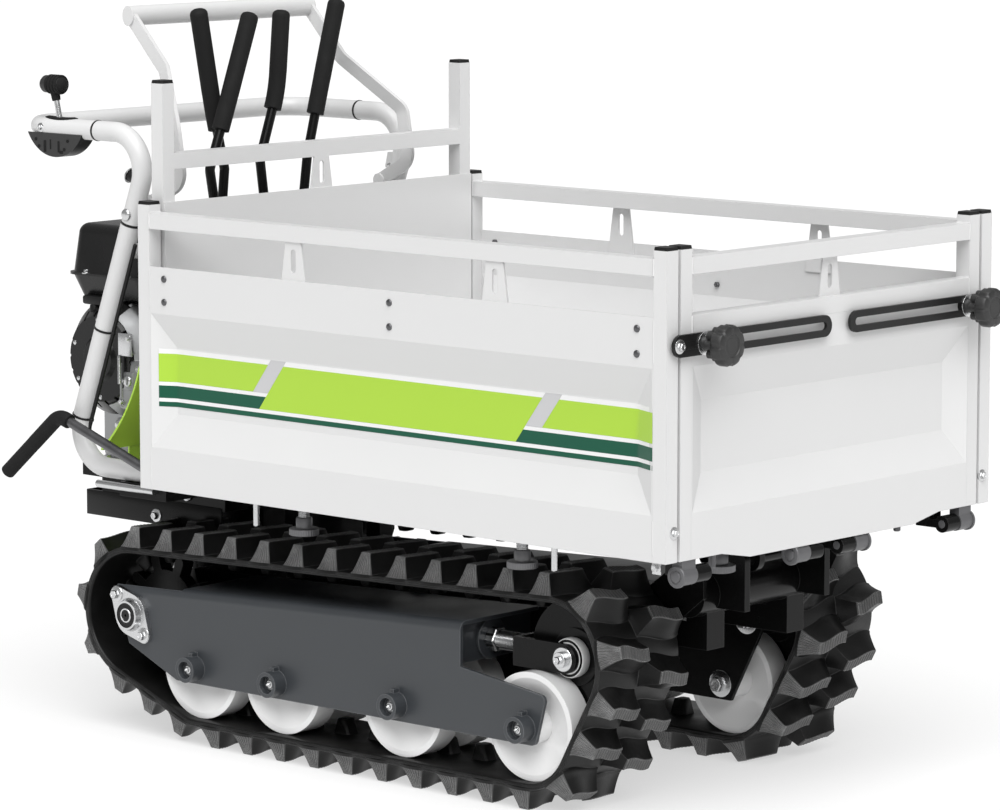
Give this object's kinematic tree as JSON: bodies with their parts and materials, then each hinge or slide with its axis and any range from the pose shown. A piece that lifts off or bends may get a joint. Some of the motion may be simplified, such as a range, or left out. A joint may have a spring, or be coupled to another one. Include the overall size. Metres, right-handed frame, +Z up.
{
  "type": "walk-behind tracked site dumper",
  "caption": "Walk-behind rubber-tracked mini dumper with a drop-front load box whose side walls slide out and whose bed tips forward.",
  "frame": {"origin": "on the ground, midway along the length and the width of the machine", "axes": "+X forward towards the gate, +Y to the operator's left, +Z up"},
  "size_m": [1.494, 0.77, 1.1538],
  "materials": {
    "white_paint": "satin powder coat",
    "plate_grey": "satin anthracite paint",
    "frame_black": "gloss black paint",
    "track_rubber": "moulded rubber",
    "wheel_white": "gloss white paint",
    "zinc": "bright zinc plate",
    "black_plastic": "moulded plastic",
    "tank_black": "satin black paint",
    "lime_paint": "satin lime paint",
    "engine_alloy": "cast aluminium"
  },
  "bodies": {
    "chassis": {"air_filter": "black_plastic", "bearing_left": "zinc", "bearing_right": "zinc", "chassis_frame": "frame_black", "clutch_bail": "white_paint", "drive_shafts": "zinc", "engine_block": "engine_alloy", "engine_guard": "lime_paint", "engine_platform": "frame_black", "fuel_tank": "tank_black", "gearbox": "frame_black", "handle_uprights": "white_paint", "handlebar": "white_paint", "idler_fork_left": "frame_black", "idler_fork_right": "frame_black", "idler_left": "frame_black", "idler_right": "frame_black", "inner_plate_left": "frame_black", "inner_plate_right": "frame_black", "latch_rod": "zinc", "lever_console": "frame_black", "lever_grips": "black_plastic", "muffler": "frame_black", "recoil_cover": "tank_black", "road_wheels_left": "wheel_white", "road_wheels_right": "wheel_white", "shift_levers": "frame_black", "sprocket_left": "frame_black", "sprocket_right": "frame_black", "throttle": "black_plastic", "track_frame_left": "plate_grey", "track_frame_right": "plate_grey", "track_left": "track_rubber", "track_right": "track_rubber", "wheel_axles_left": "zinc", "wheel_axles_right": "zinc"},
    "load_bed": {"bed_floor": "white_paint", "bed_nose": "frame_black", "bed_pivot": "frame_black", "caps_headboard": "black_plastic", "headboard_frame": "white_paint", "headboard_sheet": "white_paint", "lock_screws": "zinc", "slide_sockets": "frame_black", "tip_grip": "black_plastic", "tip_lever": "zinc"},
    "side_right": {"caps_side_right": "black_plastic", "side_frame_right": "white_paint", "side_sheet_right": "white_paint", "side_slides_right": "zinc"},
    "side_left": {"caps_side_left": "black_plastic", "side_frame_left": "white_paint", "side_sheet_left": "white_paint", "side_slides_left": "zinc"},
    "front_gate": {"caps_gate": "black_plastic", "gate_frame": "white_paint", "gate_hinges": "zinc", "gate_knobs": "black_plastic", "gate_plates": "black_plastic", "gate_sheet": "white_paint"}
  },
  "joints": [
    {"name": "bed_tip", "type": "hinge", "parent": "chassis", "child": "load_bed", "pos_m": [0.582, 0, 0.372], "axis": [0, 1, 0], "range_deg": [0, 45]},
    {"name": "side_right_slide", "type": "slide", "parent": "load_bed", "child": "side_right", "axis": [0, -1, 0], "range_m": [0, 0.18]},
    {"name": "side_left_slide", "type": "slide", "parent": "load_bed", "child": "side_left", "axis": [0, 1, 0], "range_m": [0, 0.18]},
    {"name": "gate_swing", "type": "hinge", "parent": "load_bed", "child": "front_gate", "pos_m": [0.675, 0, 0.391], "axis": [0, 1, 0], "range_deg": [0, 85]}
  ]
}
